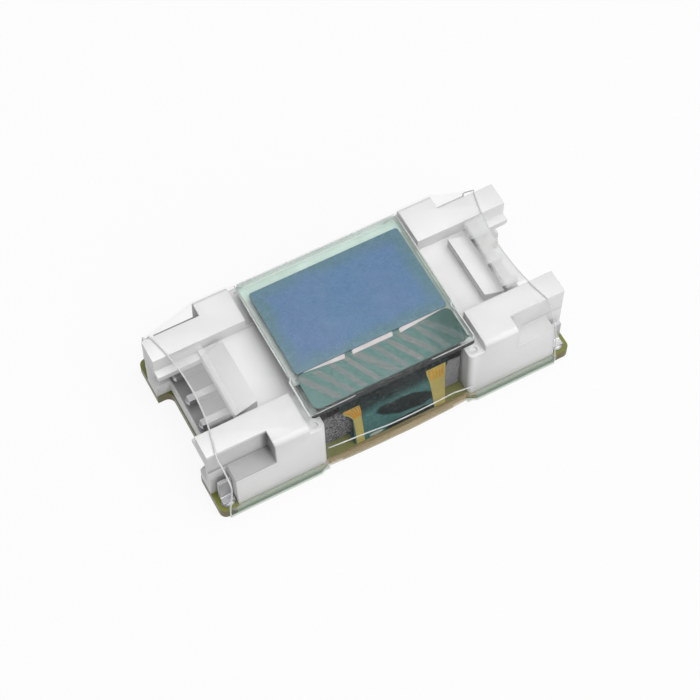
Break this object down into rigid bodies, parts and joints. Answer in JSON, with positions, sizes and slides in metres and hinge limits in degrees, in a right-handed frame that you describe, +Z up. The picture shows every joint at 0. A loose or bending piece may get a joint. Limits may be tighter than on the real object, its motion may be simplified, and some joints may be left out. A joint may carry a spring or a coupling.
{
  "type": "small oled module",
  "caption": "Small display panel on a circuit board between two white cable sockets, all held in a clear heat-shrink sleeve.",
  "frame": {"origin": "middle of the underside, on the outer face of the sleeve", "axes": "+X along the module from the left socket to the right socket, +Y towards the back edge of the display, away from its flexible cable, +Z up out of the display"},
  "size_m": [0.0264, 0.0132, 0.0068],
  "materials": {
    "circuit_board": "satin",
    "white_plastic": "matte",
    "tinned_contact": "bright",
    "display_glass": "gloss",
    "polariser": "gloss",
    "silicon": "gloss",
    "flex_cable": "gloss",
    "foam": "matte",
    "clear_sleeve": "clear",
    "chip_plastic": "matte",
    "capacitor_ceramic": "satin",
    "resistor_ceramic": "satin"
  },
  "bodies": {
    "root": {"circuit_board": "circuit_board", "clock_pull_up_resistor": "resistor_ceramic", "current_set_resistor": "resistor_ceramic", "data_pull_up_resistor": "resistor_ceramic", "display_driver_chip": "silicon", "display_flex_cable": "flex_cable", "display_front_glass": "display_glass", "display_rear_glass": "display_glass", "first_pump_capacitor": "capacitor_ceramic", "foam_spacer": "foam", "heat_shrink_sleeve": "clear_sleeve", "input_capacitor": "capacitor_ceramic", "left_back_solder_tab": "tinned_contact", "left_contact_pin_1": "tinned_contact", "left_contact_pin_2": "tinned_contact", "left_contact_pin_3": "tinned_contact", "left_contact_pin_4": "tinned_contact", "left_front_solder_tab": "tinned_contact", "left_socket_housing": "white_plastic", "logic_capacitor": "capacitor_ceramic", "output_capacitor": "capacitor_ceramic", "panel_bias_capacitor": "capacitor_ceramic", "panel_supply_capacitor": "capacitor_ceramic", "polariser_film": "polariser", "reset_capacitor": "capacitor_ceramic", "reset_resistor": "resistor_ceramic", "right_back_solder_tab": "tinned_contact", "right_contact_pin_1": "tinned_contact", "right_contact_pin_2": "tinned_contact", "right_contact_pin_3": "tinned_contact", "right_contact_pin_4": "tinned_contact", "right_front_solder_tab": "tinned_contact", "right_socket_housing": "white_plastic", "second_pump_capacitor": "capacitor_ceramic", "voltage_regulator": "chip_plastic"}
  },
  "joints": []
}
